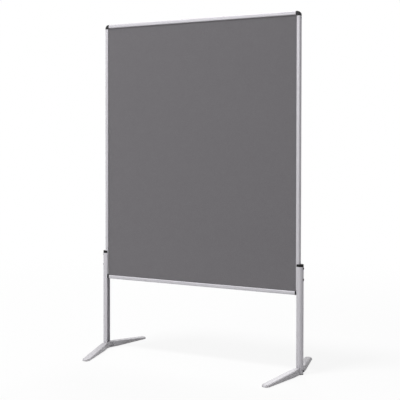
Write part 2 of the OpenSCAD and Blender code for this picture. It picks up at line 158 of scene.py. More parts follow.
def rubbed_edges(tree, radius, face, edge, most):
    """A rounded normal, and the share of rubbing: 0 on a face, most where an edge is sharpest."""
    soft = add(tree, "ShaderNodeBevel", {"Radius": radius}, samples=4)
    true = add(tree, "ShaderNodeNewGeometry").outputs["Normal"]
    same = add(tree, "ShaderNodeVectorMath", {0: soft, 1: true}, operation="DOT_PRODUCT")
    return soft, add(tree, "ShaderNodeMapRange", {
        "Value": same, "From Min": face, "From Max": edge, "To Max": most})


# %% [markdown]
# ## Anodised aluminium
#
# The frame and the legs are pressed through a die, etched matt and anodised. The die
# leaves fine lines along the bar, and the etch a satin surface that looks almost soft:
# it brightens and darkens gradually round the legs and shows no mirror image. So it is
# set only a little metallic, and the gloss is that of the clear oxide layer over it. Real
# die lines are about a tenth of a millimetre wide, which no picture of a whole board
# shows, so they are drawn ten times as wide, and a second, broader set of streaks lies
# under them. The edges are polished a little brighter.

# %% Anodised aluminium
# Width and length of the marks, and detail and roughness of the noise that makes them
DIE_LINES = (0.0011, 0.4, 3, 0.6)
STREAKS = (0.006, 0.9, 2, 0.5)
ETCH_GRAIN = 0.0005


def extruded_aluminium(name, along):
    """Satin anodised aluminium whose die lines run along one axis: 0 for X, 2 for Z."""
    material, tree, place = new_material(name)
    drawn = []
    for width, length, detail, roughness in (DIE_LINES, STREAKS):
        repeats = [1 / width] * 3
        repeats[along] = 1 / length
        lie = add(tree, "ShaderNodeMapping", {"Vector": place, "Scale": tuple(repeats)})
        drawn.append(add(tree, "ShaderNodeTexNoise", {
            "Vector": lie, "Scale": 1, "Detail": detail, "Roughness": roughness}))
    lines, streaks = drawn
    etch = add(tree, "ShaderNodeTexNoise", {"Vector": place, "Scale": 1 / ETCH_GRAIN, "Detail": 2})
    tone = add(tree, "ShaderNodeMix", {
        "Factor": streaks, "A": linear("#B9B7BC"), "B": linear("#C2C0C5")}, data_type="RGBA")
    shade = add(tree, "ShaderNodeMapRange", {
        "Value": lines, "From Min": 0.3, "From Max": 0.7, "To Min": 0.94, "To Max": 1.05})
    lined = add(tree, "ShaderNodeMix", {"Factor": 1.0, "A": tone, "B": shade},
                data_type="RGBA", blend_type="MULTIPLY")
    soft, rubbed = rubbed_edges(tree, radius=0.0009, face=0.995, edge=0.90, most=0.5)
    worn = add(tree, "ShaderNodeMix", {"Factor": rubbed, "A": lined, "B": linear("#D2D0D5")},
               data_type="RGBA")
    matt = add(tree, "ShaderNodeMapRange", {
        "Value": lines, "From Min": 0.25, "From Max": 0.75, "To Min": 0.40, "To Max": 0.54})
    grit = add(tree, "ShaderNodeBump", {
        "Height": etch, "Strength": 0.10, "Distance": 0.0001, "Normal": soft})
    relief = add(tree, "ShaderNodeBump", {
        "Height": lines, "Strength": 0.25, "Distance": 0.0002, "Normal": grit})
    skin = add(tree, "ShaderNodeBsdfPrincipled", {
        "Base Color": worn, "Metallic": 0.2, "Roughness": matt, "Normal": relief})
    add(tree, "ShaderNodeOutputMaterial", {"Surface": skin})
    return material


aluminium_rail = extruded_aluminium("aluminium extrusion, satin anodised, rails", 0)
aluminium_upright = extruded_aluminium("aluminium extrusion, satin anodised, uprights", 2)
print("made", aluminium_rail.name, "and", aluminium_upright.name)

# %% [markdown]
# ## Wool felt
#
# Needled wool felt is a mat of short fibres without a weave. From afar it is one quiet
# grey, close up it is mottled: tufts a millimetre or two across catch the light, and
# single pale and dark hairs lie over them. The fibres that stand up give a soft sheen
# at the edges and no gloss. Two noises make the tufts and the slow cloudiness of the
# dyed wool, and a stretched, bent noise makes the hairs. The tufts' light and shade is
# painted into the colour: it is lighter where their bump rises and darker between them.
# A real hair is too fine to show, so each is drawn as wide as a small strand of them.

# %% Wool felt
CLOUD, TUFT = 0.06, 0.0022
STRAND, STRAND_LENGTH = 0.0007, 0.006
felt, tree, place = new_material("wool felt, needled, mid grey")
cloud = add(tree, "ShaderNodeTexNoise", {"Vector": place, "Scale": 1 / CLOUD, "Detail": 3})
tuft = add(tree, "ShaderNodeTexNoise", {
    "Vector": place, "Scale": 1 / TUFT, "Detail": 6, "Roughness": 0.7, "Distortion": 0.6})
lie = add(tree, "ShaderNodeMapping", {
    "Vector": place, "Rotation": (0, math.radians(35), 0),
    "Scale": (1 / STRAND, 1 / STRAND, 1 / STRAND_LENGTH)})
hair = add(tree, "ShaderNodeTexNoise", {"Vector": lie, "Scale": 1, "Detail": 2, "Distortion": 2.5})
dyed = add(tree, "ShaderNodeMix", {
    "Factor": cloud, "A": linear("#6D6B6E"), "B": linear("#706E71")}, data_type="RGBA")
# Painted light and shade: the felt is made lighter on the tufts and darker between them, following
# the same noise as their bump
depth = add(tree, "ShaderNodeMapRange", {
    "Value": tuft, "From Min": 0.3, "From Max": 0.7, "To Min": 0.80, "To Max": 1.16})
tufts_painted_light_and_shade = add(tree, "ShaderNodeMix", {"Factor": 1.0, "A": dyed, "B": depth},
             data_type="RGBA", blend_type="MULTIPLY")
stray = add(tree, "ShaderNodeMapRange", {
    "Value": hair, "From Min": 0.60, "From Max": 0.72, "To Max": 0.5})
haired = add(tree, "ShaderNodeMix", {"Factor": stray, "A": tufts_painted_light_and_shade, "B": linear("#8B898C")},
             data_type="RGBA")
nap = add(tree, "ShaderNodeBump", {"Height": tuft, "Strength": 0.5, "Distance": 0.0006})
hairs = add(tree, "ShaderNodeBump", {
    "Height": hair, "Strength": 0.25, "Distance": 0.0003, "Normal": nap})
cloth = add(tree, "ShaderNodeBsdfPrincipled", {
    "Base Color": haired, "Roughness": 0.95, "Specular IOR Level": 0.15, "Sheen Weight": 0.12,
    "Sheen Roughness": 0.5, "Sheen Tint": linear("#B9B7BA"), "Normal": hairs})
add(tree, "ShaderNodeOutputMaterial", {"Surface": cloth})
print("made", felt.name)

# %% [markdown]
# ## Moulded plastics
#
# The corner caps, the leg caps and the plugs are injection moulded in a spark-eroded
# tool, which leaves a fine even grain and a dull gloss. The corner caps are charcoal
# and the leg caps black. The grain is drawn about half a millimetre across, several times
# its real size, so that it shows close up. Rubbed corners of it turn a little paler.

# %% Moulded plastics
FLOW_MARK = 0.02


def moulded(name, colour, rubbed, roughness, grain, gloss=0.5, depth=0.00012):
    """Plastic or rubber from a grained tool, with edges rubbed paler."""
    material, tree, place = new_material(name)
    sparks = add(tree, "ShaderNodeTexNoise", {
        "Vector": place, "Scale": 1 / grain, "Detail": 3, "Roughness": 0.65})
    flow = add(tree, "ShaderNodeTexNoise", {"Vector": place, "Scale": 1 / FLOW_MARK, "Detail": 2})
    soft, edge = rubbed_edges(tree, radius=0.0012, face=0.99, edge=0.85, most=0.45)
    even = add(tree, "ShaderNodeMapRange", {
        "Value": flow, "From Min": 0.3, "From Max": 0.7, "To Min": 0.92, "To Max": 1.08})
    body = add(tree, "ShaderNodeMix", {"Factor": 1.0, "A": linear(colour), "B": even},
               data_type="RGBA", blend_type="MULTIPLY")
    worn = add(tree, "ShaderNodeMix", {"Factor": edge, "A": body, "B": linear(rubbed)},
               data_type="RGBA")
    matt = add(tree, "ShaderNodeMapRange", {
        "Value": sparks, "From Min": 0.3, "From Max": 0.7,
        "To Min": roughness - 0.07, "To Max": roughness + 0.07})
    relief = add(tree, "ShaderNodeBump", {
        "Height": sparks, "Strength": 0.4, "Distance": depth, "Normal": soft})
    skin = add(tree, "ShaderNodeBsdfPrincipled", {
        "Base Color": worn, "Roughness": matt, "Specular IOR Level": gloss, "Normal": relief})
    add(tree, "ShaderNodeOutputMaterial", {"Surface": skin})
    return material


corner_plastic = moulded("ABS, moulded, charcoal", "#1F1E20", "#363438",
                         roughness=0.52, grain=0.0006, gloss=0.25)
cap_plastic = moulded("polyamide, moulded, black", "#0D0C0E", "#212022",
                      roughness=0.45, grain=0.0005, gloss=0.2)
bush_plastic = moulded("acetal, turned, ivory", "#DAD6CB", "#E8E5DC",
                       roughness=0.38, grain=0.0004, depth=0.00003)
glide_rubber = moulded("rubber, moulded, black", "#1B1B1C", "#343335",
                       roughness=0.80, grain=0.0009)
print("made", corner_plastic.name, cap_plastic.name, bush_plastic.name, glide_rubber.name, sep="; ")

# %% [markdown]
# ## Powder-coated casting
#
# The foot arms and the hubs are pressure die castings with a silver powder coat. Baked
# powder never levels out quite flat: it keeps an orange peel of waves two or three
# millimetres long, and the aluminium flakes in it sparkle faintly. That sparkle is painted
# into the colour as glints: each flake is made a little lighter or darker at random. The
# flakes are drawn almost a millimetre across, far above their real size, or they wouldn't
# show. The coat is a paint, so it is hardly metallic. Shoes and brooms leave its corners a
# little scuffed.

# %% Powder-coated casting
PEEL, FLAKE, SCUFF = 0.0028, 0.0009, 0.012
casting, tree, place = new_material("die-cast aluminium, silver powder coat")
peel = add(tree, "ShaderNodeTexNoise", {"Vector": place, "Scale": 1 / PEEL, "Detail": 1})
flake = add(tree, "ShaderNodeTexVoronoi", {"Vector": place, "Scale": 1 / FLAKE})
scuff = add(tree, "ShaderNodeTexNoise", {
    "Vector": place, "Scale": 1 / SCUFF, "Detail": 6, "Roughness": 0.75})
# Painted glints: each flake's colour is made a little lighter or darker at random, standing in for
# its sparkle
glint = add(tree, "ShaderNodeSeparateColor", {"Color": flake.outputs["Color"]})
painted_flake_glint = add(tree, "ShaderNodeMapRange", {"Value": glint, "To Min": 0.94, "To Max": 1.06})
coat = add(tree, "ShaderNodeMix", {"Factor": 1.0, "A": linear("#B5B3B7"), "B": painted_flake_glint},
           data_type="RGBA", blend_type="MULTIPLY")
soft, edge = rubbed_edges(tree, radius=0.0012, face=0.99, edge=0.85, most=1.0)
rub = add(tree, "ShaderNodeMapRange", {
    "Value": scuff, "From Min": 0.45, "From Max": 0.65, "To Max": 0.5})
bare = add(tree, "ShaderNodeMath", {0: edge, 1: rub}, operation="MULTIPLY")
worn = add(tree, "ShaderNodeMix", {"Factor": bare, "A": coat, "B": linear("#8B898D")},
           data_type="RGBA")
matt = add(tree, "ShaderNodeMapRange", {
    "Value": scuff, "From Min": 0.3, "From Max": 0.7, "To Min": 0.44, "To Max": 0.56})
waves = add(tree, "ShaderNodeBump", {
    "Height": peel, "Strength": 0.3, "Distance": 0.0001, "Normal": soft})
skin = add(tree, "ShaderNodeBsdfPrincipled", {
    "Base Color": worn, "Metallic": 0.1, "Roughness": matt, "Normal": waves})
add(tree, "ShaderNodeOutputMaterial", {"Surface": skin})
print("made", casting.name)

# %% [markdown]
# ## Steel
#
# The screws are black oxide steel, and the pins and threaded plates are zinc plated.
# Both are metals, so their colour is the colour of their reflection. Rolling or turning
# leaves fine scratches, drawn here a few times too coarse so that they show close up,
# and plating a faint cloudiness.

# %% Steel
PLATING_CLOUD, TURNING_MARK = 0.004, 0.0004


def plated(name, low, high, roughness):
    """Plated or blackened steel, cloudy and finely scratched."""
    material, tree, place = new_material(name)
    cloudy = add(tree, "ShaderNodeTexNoise", {
        "Vector": place, "Scale": 1 / PLATING_CLOUD, "Detail": 4})
    turned = add(tree, "ShaderNodeTexNoise", {
        "Vector": place, "Scale": 1 / TURNING_MARK, "Detail": 2})
    tone = add(tree, "ShaderNodeMix", {"Factor": cloudy, "A": linear(low), "B": linear(high)},
               data_type="RGBA")
    matt = add(tree, "ShaderNodeMapRange", {
        "Value": cloudy, "From Min": 0.3, "From Max": 0.7,
        "To Min": roughness - 0.06, "To Max": roughness + 0.08})
    relief = add(tree, "ShaderNodeBump", {"Height": turned, "Strength": 0.2, "Distance": 0.00005})
    skin = add(tree, "ShaderNodeBsdfPrincipled", {
        "Base Color": tone, "Metallic": 1.0, "Roughness": matt, "Normal": relief})
    add(tree, "ShaderNodeOutputMaterial", {"Surface": skin})
    return material


screw_steel = plated("steel, black oxide", "#1E1D20", "#2B2A2D", roughness=0.40)
pin_steel = plated("steel, zinc plated", "#9A9CA0", "#B6B8BC", roughness=0.32)
print("made", screw_steel.name, "and", pin_steel.name)

# %% [markdown]
# ## Soft board
#
# The core is pressed softboard. Felt and frame hide it, but it still gets its own
# matted, straw-coloured fibre, so that nothing in the model is left unfinished.

# %% Soft board
FIBRE = 0.003
softboard, tree, place = new_material("softboard, pressed wood fibre")
fibre = add(tree, "ShaderNodeTexNoise", {
    "Vector": place, "Scale": 1 / FIBRE, "Detail": 6, "Roughness": 0.75, "Distortion": 1.0})
tone = add(tree, "ShaderNodeMix", {
    "Factor": fibre, "A": linear("#8F6F48"), "B": linear("#C2A678")}, data_type="RGBA")
relief = add(tree, "ShaderNodeBump", {"Height": fibre, "Strength": 0.5, "Distance": 0.0006})
skin = add(tree, "ShaderNodeBsdfPrincipled", {
    "Base Color": tone, "Roughness": 0.9, "Normal": relief})
add(tree, "ShaderNodeOutputMaterial", {"Surface": skin})
print("made", softboard.name)

# %% [markdown]
# ## Finishes for the pieces that stay as they are
#
# Each piece of the frame gets its finish by name. Rails and uprights differ only in the
# way their die lines run.

# %% Give the frame its finishes
FINISHES = {
    "board_core": softboard, "felt_": felt,
    "frame_top": aluminium_rail, "frame_bottom": aluminium_rail,
    "frame_left": aluminium_upright, "frame_right": aluminium_upright,
    "corner_screws": screw_steel, "corner_": corner_plastic,
    "leg_cap": cap_plastic, "leg_plug": cap_plastic, "leg_screws": screw_steel,
    "leg_": aluminium_upright,
    "nut_plate": pin_steel, "hub_screw": screw_steel, "foot_hub": casting,
    "pivot_bush": bush_plastic, "pivot_pin": pin_steel,
    "arm_glide": glide_rubber, "arm_": casting,
}
for name, piece in nodes.items():
    finish = next(made for start, made in FINISHES.items() if name.startswith(start))
    for slot in piece.material_slots:
        slot.material = finish
print("finished", len(nodes), "pieces")

# %% [markdown]
# ## How a piece is grown from a geometry tree
#
# What repeats or follows a rule is made by geometry nodes: the felt's surface, the
# screws and the ribbed castings. Each tree has named inputs for its sizes, so that the
# same rule makes a longer arm or a smaller screw. A helper sets the inputs, lets the tree
# run once, and keeps the result as a plain mesh.

# %% Helpers for geometry trees


def new_tree(name, sockets):
    """An empty geometry tree with named inputs, and the sockets that hand them in."""
    tree = bpy.data.node_groups.new(name, "GeometryNodeTree")
    tree.interface.new_socket("Geometry", in_out="INPUT", socket_type="NodeSocketGeometry")
    for label, value in sockets.items():
        kind = "Material" if value is None else "Int" if isinstance(value, int) else "Float"
        made = tree.interface.new_socket(label, in_out="INPUT", socket_type="NodeSocket" + kind)
        if value is not None:
            made.default_value = value
    tree.interface.new_socket("Geometry", in_out="OUTPUT", socket_type="NodeSocketGeometry")
    return tree, tree.nodes.new("NodeGroupInput").outputs


def finish_tree(tree, geometry, material):
    """Ends a tree: real geometry with its material."""
    real = add(tree, "GeometryNodeRealizeInstances", {"Geometry": geometry})
    dressed = add(tree, "GeometryNodeSetMaterial", {"Geometry": real, "Material": material})
    add(tree, "NodeGroupOutput", {"Geometry": dressed})


def new_piece(name, mesh):
    """An object for a mesh, placed in the scene."""
    piece = bpy.data.objects.new(name, mesh)
    bpy.context.scene.collection.objects.link(piece)
    return piece


def keep_plain(piece):
    """Runs a piece's modifiers and keeps the plain mesh that they make."""
    run = piece.evaluated_get(bpy.context.evaluated_depsgraph_get())
    mesh = bpy.data.meshes.new_from_object(run)
    piece.modifiers.clear()
    piece.data = mesh


def grow(name, tree, values, start=None):
    """Runs a tree with its inputs set, on nothing or on a start mesh, and keeps the plain mesh."""
    piece = new_piece(name, start or bpy.data.meshes.new(name))
    grower = piece.modifiers.new("tree", "NODES")
    grower.node_group = tree
    for item in tree.interface.items_tree:
        if item.in_out == "INPUT" and item.name in values:
            grower[item.identifier] = values[item.name]
    keep_plain(piece)
    return piece


def round_edges(piece, width, segments=2, angle=40):
    """Rounds a piece's sharp edges, as moulding, tumbling or a file leaves them."""
    bevel = piece.modifiers.new("edges", "BEVEL")
    bevel.width, bevel.segments = width, segments
    bevel.limit_method, bevel.angle_limit = "ANGLE", math.radians(angle)
    bevel.harden_normals = True
    keep_plain(piece)


print("helpers ready")

# %% [markdown]
# ## Felt
#
# Each side of the board is one sheet of felt, glued flat to the core, whose edges are
# clamped in the groove of the frame. Glue and damp never leave it dead flat: it swells a
# little where the frame lets go of it, and it has slow waves a few centimetres long that
# raking light shows. The tree lays a grid, lifts it by a smooth step inside the frame's
# lips, adds the waves, and turns the sheet to its side of the board.

# %% Felt tree
felt_tree, given = new_tree("felt sheet", {
    "Width": 1.18, "Height": 1.48, "Cell": 0.007, "Hidden Edge": 0.011, "Swell Width": 0.014,
    "Swell": 0.00015, "Wave Length": 0.09, "Wave Height": 0.00015, "Turn": 0.0, "Seed": 1.0,
    "Felt": None})
tree = felt_tree
at = add(tree, "ShaderNodeSeparateXYZ", {"Vector": add(tree, "GeometryNodeInputPosition")})
counts, insets = [], []
for span, along in ((given["Width"], at.outputs["X"]), (given["Height"], at.outputs["Y"])):
    counts.append(add(tree, "ShaderNodeMath", {0: span, 1: given["Cell"]}, operation="DIVIDE"))
    off_middle = add(tree, "ShaderNodeMath", {0: along}, operation="ABSOLUTE")
    half = add(tree, "ShaderNodeMath", {0: span, 1: 2.0}, operation="DIVIDE")
    insets.append(add(tree, "ShaderNodeMath", {0: half, 1: off_middle}, operation="SUBTRACT"))
grid = add(tree, "GeometryNodeMeshGrid", {
    "Size X": given["Width"], "Size Y": given["Height"],
    "Vertices X": counts[0], "Vertices Y": counts[1]})
inside = add(tree, "ShaderNodeMath", {0: insets[0], 1: insets[1]}, operation="MINIMUM")
full = add(tree, "ShaderNodeMath", {0: given["Hidden Edge"], 1: given["Swell Width"]},
           operation="ADD")
rise = add(tree, "ShaderNodeMapRange", {
    "Value": inside, "From Min": given["Hidden Edge"], "From Max": full},
    interpolation_type="SMOOTHSTEP")
pitch = add(tree, "ShaderNodeMath", {0: 1.0, 1: given["Wave Length"]}, operation="DIVIDE")
waves = add(tree, "ShaderNodeTexNoise", {"W": given["Seed"], "Scale": pitch, "Detail": 2.0},
            noise_dimensions="4D")
height = add(tree, "ShaderNodeMath", {0: waves, 1: given["Wave Height"], 2: given["Swell"]},
             operation="MULTIPLY_ADD")
lift = add(tree, "ShaderNodeMath", {0: height, 1: rise}, operation="MULTIPLY")
lifted = add(tree, "GeometryNodeSetPosition", {
    "Geometry": grid, "Offset": add(tree, "ShaderNodeCombineXYZ", {"Z": lift})})
smooth = add(tree, "GeometryNodeSetShadeSmooth", {"Geometry": lifted})
facing = add(tree, "ShaderNodeCombineXYZ", {"X": math.radians(90), "Z": given["Turn"]})
turned = add(tree, "GeometryNodeTransform", {"Geometry": smooth, "Rotation": facing})
finish_tree(tree, turned, given["Felt"])
print("felt tree:", len(tree.nodes), "nodes")

# %% Felt sheets
FELT_T = 0.002
for name, turn, way, seed in (("felt_front", 0.0, -1, 3.0), ("felt_back", math.pi, 1, 8.0)):
    low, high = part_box(name)
    width, length = high[0] - low[0], high[2] - low[2]
    sheet = grow(name + "_sheet", felt_tree, {
        "Width": width, "Height": length, "Turn": turn, "Seed": seed, "Felt": felt})
    thick = sheet.modifiers.new("thickness", "SOLIDIFY")
    thick.thickness, thick.offset = FELT_T, -1
    keep_plain(sheet)
    outer = low[1] if way < 0 else high[1]
    sheet.data.transform(Matrix.Translation((0, outer, (low[2] + high[2]) / 2)))
    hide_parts(name)
    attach(sheet, "stand")
    print(sheet.name, len(sheet.data.polygons), "faces, cut", round(width, 4), "by",
          round(length, 4), "m")

# %% [markdown]
# ## Rims
#
# Arms, screws and plugs all have round bodies with rounded or bevelled rims. One small
# tree makes such a rim as a stack of circles, each a little lower and wider than the one
# above it, or the other way up where the rounding is negative. A tight skin wrapped round
# two or more rims is then a whole body.

# %% Rim tree
# Corners of a large round, and the inputs of a rim that is left sharp
RIM_POINTS = 80
PLAIN = {"Rounding": 0.0, "Steps": 2}
rim_tree, given = new_tree("rounded rim", {
    "Place": 0.0, "Radius": 0.02, "Level": 0.03, "Rounding": 0.005, "Steps": 9})
tree = rim_tree
last = add(tree, "ShaderNodeMath", {0: given["Steps"], 1: 1.0}, operation="SUBTRACT")
share = add(tree, "ShaderNodeMath", {0: add(tree, "GeometryNodeInputIndex"), 1: last},
            operation="DIVIDE")
angle = add(tree, "ShaderNodeMath", {0: share, 1: math.radians(90)}, operation="MULTIPLY")
sine = add(tree, "ShaderNodeMath", {0: angle}, operation="SINE")
cosine = add(tree, "ShaderNodeMath", {0: angle}, operation="COSINE")
drop = add(tree, "ShaderNodeMath", {0: 1.0, 1: sine}, operation="SUBTRACT")
draw_in = add(tree, "ShaderNodeMath", {0: 1.0, 1: cosine}, operation="SUBTRACT")
size = add(tree, "ShaderNodeMath", {0: given["Rounding"]}, operation="ABSOLUTE")
lower = add(tree, "ShaderNodeMath", {0: drop, 1: given["Rounding"]}, operation="MULTIPLY")
narrower = add(tree, "ShaderNodeMath", {0: draw_in, 1: size}, operation="MULTIPLY")
z = add(tree, "ShaderNodeMath", {0: given["Level"], 1: lower}, operation="SUBTRACT")
r = add(tree, "ShaderNodeMath", {0: given["Radius"], 1: narrower}, operation="SUBTRACT")
spot = add(tree, "ShaderNodeCombineXYZ", {"X": given["Place"], "Z": z})
stack = add(tree, "GeometryNodePoints", {"Count": given["Steps"], "Position": spot})
ring = add(tree, "GeometryNodeMeshCircle", {"Vertices": RIM_POINTS, "Radius": 1.0})
grown = add(tree, "ShaderNodeCombineXYZ", {"X": r, "Y": r, "Z": 1.0})
rings = add(tree, "GeometryNodeInstanceOnPoints", {
    "Points": stack, "Instance": ring, "Scale": grown})
add(tree, "NodeGroupOutput", {
    "Geometry": add(tree, "GeometryNodeRealizeInstances", {"Geometry": rings})})


def wrap_rims(tree, rims):
    """The tight skin round some rims, each given by its inputs."""
    made = [add(tree, "GeometryNodeGroup", rim, node_tree=rim_tree) for rim in rims]
    return add(tree, "GeometryNodeConvexHull", {
        "Geometry": add(tree, "GeometryNodeJoinGeometry", {"Geometry": made})})


print("rim tree:", len(tree.nodes), "nodes")

# %% [markdown]
# ## Foot arms
#
# Each arm is one die casting: a low paddle, widest at its tip, with a fork at its inner
# end that takes the hub's ear. From above it is a smooth rounded shape; from below it is
# hollow, and thin ribs that lean to and fro brace its walls, so that a person stepping on
# it doesn't bend it. Rounding everything is what the process asks for, because metal
# flows and cools badly round sharp corners.
#
# The arm's tree wraps the rims of three pillars, one at the pivot, one at the shoulder and
# one at the tip, and cuts the hollow, the fork and the bores from that body.

# %% Arm tree: outer skin
arm_tree, given = new_tree("cast foot arm", {
    "Length": 0.29, "Nose Radius": 0.016, "Shoulder Radius": 0.02, "Shoulder Place": 0.05,
    "Tip Radius": 0.022, "Underside": 0.003, "Top": 0.038, "Tip Top": 0.015, "Rounding": 0.009,
    "Nose Rounding": 0.0055, "Bevel": 0.0015, "Wall": 0.0032, "Taper": 0.003,
    "Roof Rounding": 0.002, "Boss Radius": 0.012, "Rib Thickness": 0.0024,
    "Rib Angle": math.radians(32), "Rib Rise": 0.002, "Ribs": 6, "Ear Room": 0.0128,
    "Neck Room": 0.0068, "Fork Bottom": 0.011, "Fork Top": 0.032, "Fold": math.radians(78.7),
    "Pin Radius": 0.00505, "Pin Top": 0.0359, "Stud Radius": 0.00405, "Stud Top": 0.0103,
    "Casting": None})
tree = arm_tree
fall = add(tree, "ShaderNodeMath", {0: given["Top"], 1: given["Tip Top"]}, operation="SUBTRACT")
slope = add(tree, "ShaderNodeMath", {0: fall, 1: given["Length"]}, operation="DIVIDE")
shoulder_fall = add(tree, "ShaderNodeMath", {0: slope, 1: given["Shoulder Place"]},
                    operation="MULTIPLY")
shoulder_top = add(tree, "ShaderNodeMath", {0: given["Top"], 1: shoulder_fall},
                   operation="SUBTRACT")
foot_bevel = add(tree, "ShaderNodeMath", {0: given["Bevel"], 1: -1.0}, operation="MULTIPLY")
pillars = []
for place, radius, top, rounding in (
        (0.0, given["Nose Radius"], given["Top"], given["Nose Rounding"]),
        (given["Shoulder Place"], given["Shoulder Radius"], shoulder_top, given["Rounding"]),
        (given["Length"], given["Tip Radius"], given["Tip Top"], given["Rounding"])):
    pillars += [
        {"Place": place, "Radius": radius, "Level": top, "Rounding": rounding},
        {"Place": place, "Radius": radius, "Level": given["Underside"], "Rounding": foot_bevel}]
skin = wrap_rims(tree, pillars)
print("arm: a skin round", len(pillars), "rims")

# %% [markdown]
# The hollow runs from the fork's wall to the glide's boss. Its roof follows the arm's
# sloping top, and its walls lean in a little, or the casting wouldn't leave its die. It
# reaches out past the underside, so that the cut is a clean one.

# %% Arm tree: hollow
CLEAR = 0.001
hollow_r = add(tree, "ShaderNodeMath", {0: given["Shoulder Radius"], 1: given["Wall"]},
               operation="SUBTRACT")
roof_r = add(tree, "ShaderNodeMath", {0: hollow_r, 1: given["Taper"]}, operation="SUBTRACT")
hollow_start = add(tree, "ShaderNodeMath", {0: given["Ear Room"], 1: given["Wall"]},
                   operation="ADD")
after_wall = add(tree, "ShaderNodeMath", {0: hollow_start, 1: given["Wall"]}, operation="ADD")
first = add(tree, "ShaderNodeMath", {0: after_wall, 1: hollow_r}, operation="ADD")
before_boss = add(tree, "ShaderNodeMath", {0: given["Length"], 1: given["Boss Radius"]},
                  operation="SUBTRACT")
hollow_end = add(tree, "ShaderNodeMath", {0: before_boss, 1: given["Wall"]}, operation="SUBTRACT")
final = add(tree, "ShaderNodeMath", {0: hollow_end, 1: hollow_r}, operation="SUBTRACT")
roof = add(tree, "ShaderNodeMath", {0: given["Top"], 1: given["Wall"]}, operation="SUBTRACT")
below = add(tree, "ShaderNodeMath", {0: given["Underside"], 1: CLEAR}, operation="SUBTRACT")
ends = []
for place in (first, final):
    sunk = add(tree, "ShaderNodeMath", {0: slope, 1: place}, operation="MULTIPLY")
    level = add(tree, "ShaderNodeMath", {0: roof, 1: sunk}, operation="SUBTRACT")
    ends += [
        {"Place": place, "Radius": roof_r, "Level": level, "Rounding": given["Roof Rounding"]},
        {"Place": place, "Radius": hollow_r, "Level": below, **PLAIN}]
hollow = wrap_rims(tree, ends)
print("arm: a hollow round", len(ends), "rims")

# %% [markdown]
# The ribs stand in line at even steps and lean one way and the other by turns. They are
# cut out of the hollow's own shape, which makes it a row of pockets. Where the pockets are
# then cut out of the arm, the ribs stay standing between them.

# %% Arm tree: ribs
bays = add(tree, "ShaderNodeMath", {0: given["Ribs"], 1: 1.0}, operation="ADD")
run = add(tree, "ShaderNodeMath", {0: hollow_end, 1: hollow_start}, operation="SUBTRACT")
step = add(tree, "ShaderNodeMath", {0: run, 1: bays}, operation="DIVIDE")
start = add(tree, "ShaderNodeMath", {0: hollow_start, 1: step}, operation="ADD")
rib_foot = add(tree, "ShaderNodeMath", {0: given["Underside"], 1: given["Rib Rise"]},
               operation="ADD")
half_top = add(tree, "ShaderNodeMath", {0: given["Top"], 1: 0.5}, operation="MULTIPLY")
rib_middle = add(tree, "ShaderNodeMath", {0: rib_foot, 1: half_top}, operation="ADD")
line = add(tree, "GeometryNodeMeshLine", {
    "Count": given["Ribs"],
    "Start Location": add(tree, "ShaderNodeCombineXYZ", {"X": start, "Z": rib_middle}),
    "Offset": add(tree, "ShaderNodeCombineXYZ", {"X": step})})
reach = add(tree, "ShaderNodeMath", {0: given["Shoulder Radius"], 1: 4.0}, operation="MULTIPLY")
plate = add(tree, "GeometryNodeMeshCube", {"Size": add(tree, "ShaderNodeCombineXYZ", {
    "X": given["Rib Thickness"], "Y": reach, "Z": given["Top"]})})
turn = add(tree, "ShaderNodeMath", {0: add(tree, "GeometryNodeInputIndex"), 1: 2.0},
           operation="MODULO")
way = add(tree, "ShaderNodeMath", {0: turn, 1: 2.0, 2: -1.0}, operation="MULTIPLY_ADD")
lean = add(tree, "ShaderNodeMath", {0: way, 1: given["Rib Angle"]}, operation="MULTIPLY")
ribs = add(tree, "GeometryNodeInstanceOnPoints", {
    "Points": line, "Instance": plate,
    "Rotation": add(tree, "ShaderNodeCombineXYZ", {"Z": lean})})
rib_solid = add(tree, "GeometryNodeRealizeInstances", {"Geometry": ribs})
pockets = add(tree, "GeometryNodeMeshBoolean", {"Mesh 1": hollow, "Mesh 2": rib_solid},
              operation="DIFFERENCE", solver="EXACT")
print("arm: pockets between ribs")

# %% [markdown]
# The fork gives the hub's ear room all the way from unfolded to folded. The ear's round
# end turns in a round cave, and its neck sweeps a wedge: that is the skin round two necks,
# one for each end of the swing.

# %% Arm tree: fork
fork_h = add(tree, "ShaderNodeMath", {0: given["Fork Top"], 1: given["Fork Bottom"]},
             operation="SUBTRACT")
fork_sum = add(tree, "ShaderNodeMath", {0: given["Fork Top"], 1: given["Fork Bottom"]},
               operation="ADD")
fork_z = add(tree, "ShaderNodeMath", {0: fork_sum, 1: 0.5}, operation="MULTIPLY")
cave = add(tree, "GeometryNodeMeshCylinder", {
    "Vertices": RIM_POINTS, "Radius": given["Ear Room"], "Depth": fork_h})
cave_there = add(tree, "GeometryNodeTransform", {
    "Geometry": cave, "Translation": add(tree, "ShaderNodeCombineXYZ", {"Z": fork_z})})
neck_w = add(tree, "ShaderNodeMath", {0: given["Neck Room"], 1: 2.0}, operation="MULTIPLY")
neck_reach = add(tree, "ShaderNodeMath", {0: given["Shoulder Radius"], 1: 2.0},
                 operation="MULTIPLY")
neck = add(tree, "GeometryNodeMeshCube", {"Size": add(tree, "ShaderNodeCombineXYZ", {
    "X": neck_reach, "Y": neck_w, "Z": fork_h})})
outward = add(tree, "GeometryNodeTransform", {
    "Geometry": neck, "Translation": add(tree, "ShaderNodeCombineXYZ", {
        "X": given["Shoulder Radius"], "Z": fork_z})})
folded = add(tree, "ShaderNodeMath", {0: given["Fold"], 1: math.radians(90)}, operation="ADD")
necks = [add(tree, "GeometryNodeTransform", {
    "Geometry": outward, "Rotation": add(tree, "ShaderNodeCombineXYZ", {"Z": heading})})
    for heading in (math.radians(90), folded)]
wedge = add(tree, "GeometryNodeConvexHull", {
    "Geometry": add(tree, "GeometryNodeJoinGeometry", {"Geometry": necks})})
print("arm: a cave and a wedge for the ear")

# %% [markdown]
# Two bores take the pin and the glide's stud. Then each shape is cut from the body in
# turn, and corners that the cuts left a hair apart are merged.

